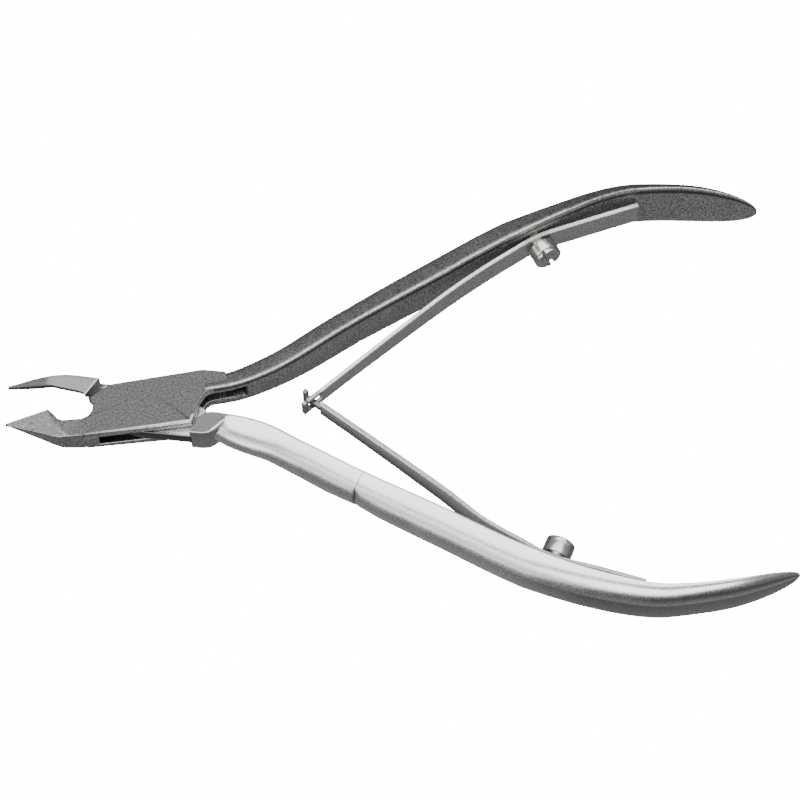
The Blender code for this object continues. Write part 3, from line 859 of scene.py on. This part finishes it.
# painted light and shade on the lower leaf: painted light along the top and painted dark along the
# bottom, with the neck and tee painted darker
lowerStrips = [
    stripPart(*lowerRun, neckEnd, lowerLength[-1], leafFoot, leafTop, 1.7, 0.3, topTone=0.7),
    stripPart(*lowerRun, tee - 0.1, neckEnd + 0.1, -neckHalf, neckHalf, 0.4, 0.4),
    stripPart(*lowerRun, 0.0, tee, -teeHalf, teeHalf, 0.45, 0.45, step=0.15),
]
upperStrips = [turned(strip, boxTurn) for strip in upperStrips]
upperLeaf = makePiece("upperLeafSpring", upperStrips, springFinish)
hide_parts("upper_leaf")
lowerStrips = [turned(strip, tongueTurn) for strip in lowerStrips]
lowerLeaf = makePiece("lowerLeafSpring", lowerStrips, springFinish)
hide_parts("lower_leaf")


def bendLeaf(piece, side, angle):
    # the seat points ahead of the screw are worked out and turned, but nothing uses them: the leaf
    # does not bend, and its transform is baked
    c, s = math.cos(angle), math.sin(angle)
    for ahead in (1.0, 7.0):
        (x, y), slope = seatPoint(side, leaves["screwX"][side] - ahead, leaves["seatGap"])
        y *= side
        (x * c - y * s) * mm
        (x * s + y * c) * mm
    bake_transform(piece)


bendLeaf(upperLeaf, 1, boxTurn)
bendLeaf(lowerLeaf, -1, tongueTurn)


screws = {
    "headRadius": 2.15,
    "headHeight": 2.5,
    "headGap": 0.5,
    "slotWidth": 0.5,
    "slotDepth": 0.8,
    "radius": 1.25,
    "depth": 2.6,
}


def screwPiece(name, side, angle, body, node, spin):
    # a disc with two D-shaped cheeks that leave the driver slot between them, on a plain shank, set
    # square to the leaf
    (x, y), slope = seatPoint(side, leaves["screwX"][side], leaves["seatGap"])
    into = Vector((-slope, 1.0, 0.0)).normalized()
    into.y *= side
    across = Vector((0, 0, 1)).cross(into)
    matrix = Matrix((across, Vector((0, 0, 1)), into)).transposed().to_4x4()
    matrix.translation = Vector((x, side * y, middleZ))
    radius, slotHalf = screws["headRadius"], screws["slotWidth"] / 2
    start = -leaves["thick"] / 2 - screws["headGap"]
    end = start - screws["headHeight"]
    spun = np.array([[math.cos(spin), math.sin(spin)], [-math.sin(spin), math.cos(spin)]])
    ring = np.array(arcPoints(radius, 0, 360, 73)[:-1])
    edgeTurn = math.degrees(math.asin(slotHalf / radius))
    cheek = np.array(arcPoints(radius, -90 + edgeTurn, 90 - edgeTurn, 40))
    cheek = softOutline(cheek, 0.12, 3)
    other = cheek * (-1, 1) @ spun
    cheek = cheek @ spun
    shankRing = np.array(arcPoints(screws["radius"], 0, 360, 33)[:-1])
    parts = [
        platePart(ring, end + screws["slotDepth"], start, edge=0.12),
        platePart(cheek, end, end + screws["slotDepth"] + 0.1, edge=0.28, steps=8),
        platePart(other, end, end + screws["slotDepth"] + 0.1, edge=0.28, steps=8),
        platePart(shankRing, start - 0.1, screws["depth"], edge=0.1),
    ]
    parts = [turned(placed(part, matrix), angle) for part in parts]
    piece = makePiece(name, parts, screwFinish)
    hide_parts(node)
    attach(piece, body)


screwPiece("upperLeafScrew", 1, boxTurn, "box_side", "upper_leaf_screw", math.radians(-25))
screwPiece("lowerLeafScrew", -1, tongueTurn, "tongue_side", "lower_leaf_screw", math.radians(90))


studio = {
    "floorGlow": 20.0,
    "worldGlow": 1.0,
    "keyGlow": 8.0,
    "fillGlow": 9.0,
    "floorReach": 3.0,
    "floorDrop": 0.0002,
    "sky": [(0.0, 0.25), (0.42, 0.12), (0.6, 0.3), (1.0, 0.42)],
}

floorMesh = bpy.data.meshes.new("paleFloor")
floorZ = cadBounds[0][2] - studio["floorDrop"]
reach = studio["floorReach"]
floorCorners = [(-reach, -reach), (reach, -reach), (reach, reach), (-reach, reach)]
floorMesh.from_pydata([(x, y, floorZ) for x, y in floorCorners], [], [(0, 1, 2, 3)])
floor = bpy.data.objects.new("paleFloor", floorMesh)
bpy.context.scene.collection.objects.link(floor)
floorLook = bpy.data.materials.new("paleFloor")
floorLook.use_nodes = True
floorShader = floorLook.node_tree.nodes["Principled BSDF"]
floorShader.inputs["Base Color"].default_value = (0.9, 0.9, 0.9, 1)
floorShader.inputs["Roughness"].default_value = 1.0
floorShader.inputs["Emission Color"].default_value = (1, 1, 1, 1)
floorShader.inputs["Emission Strength"].default_value = studio["floorGlow"]
floorMesh.materials.append(floorLook)
floor.visible_glossy = False
floor.visible_diffuse = False

world = bpy.data.worlds.new("studio")
world.use_nodes = True
sky = Wire(world.node_tree, None)
direction = sky.node("ShaderNodeTexCoord")
height = sky.node("ShaderNodeSeparateXYZ", i0=sky.wire(direction, 0))
stops = [(place, (grey, grey, grey, 1)) for place, grey in studio["sky"]]
ramp = sky.node("ShaderNodeValToRGB", {"stops": stops}, i0=sky.wire(height, 2) * 0.5 + 0.5)
world.node_tree.links.new(ramp.outputs[0], world.node_tree.nodes["Background"].inputs[0])
world.node_tree.nodes["Background"].inputs[1].default_value = studio["worldGlow"]
bpy.context.scene.world = world


def softbox(name, place, aim, width, height, glow):
    # an area light whose brightness per unit of its face is the glow
    light = bpy.data.lights.new(name, "AREA")
    light.shape = "RECTANGLE"
    light.size = width
    light.size_y = height
    light.energy = glow * width * height
    item = bpy.data.objects.new(name, light)
    item.location = place
    item.rotation_euler = (Vector(aim) - Vector(place)).to_track_quat("-Z", "Y").to_euler()
    bpy.context.scene.collection.objects.link(item)


aim = (0.04, 0.0, 0.0)
softbox("overhead", (0.04, 0.06, 0.6), aim, 0.9, 0.72, studio["keyGlow"])
softbox("front", (-0.25, -0.6, 0.36), aim, 2.0, 0.5, studio["fillGlow"])

view = {
    "lens": 99.0,
    "back": (-0.01311, -0.46929, 0.88295),
    "right": (0.99961, -0.02792, 0.0),
    "place": (0.03347, -0.15020, 0.28652),
}

cameraData = bpy.data.cameras.new("camera")
cameraData.lens = view["lens"]
cameraData.sensor_width = 36.0
cameraData.clip_start = 0.01
cameraData.clip_end = 10.0
camera = bpy.data.objects.new("camera", cameraData)
back = Vector(view["back"]).normalized()
rightWay = Vector(view["right"])
rightWay = (rightWay - back * rightWay.dot(back)).normalized()
upWay = back.cross(rightWay)
cameraMatrix = Matrix((rightWay, upWay, back)).transposed().to_4x4()
cameraMatrix.translation = Vector(view["place"])
camera.matrix_world = cameraMatrix
bpy.context.scene.collection.objects.link(camera)
bpy.context.scene.camera = camera
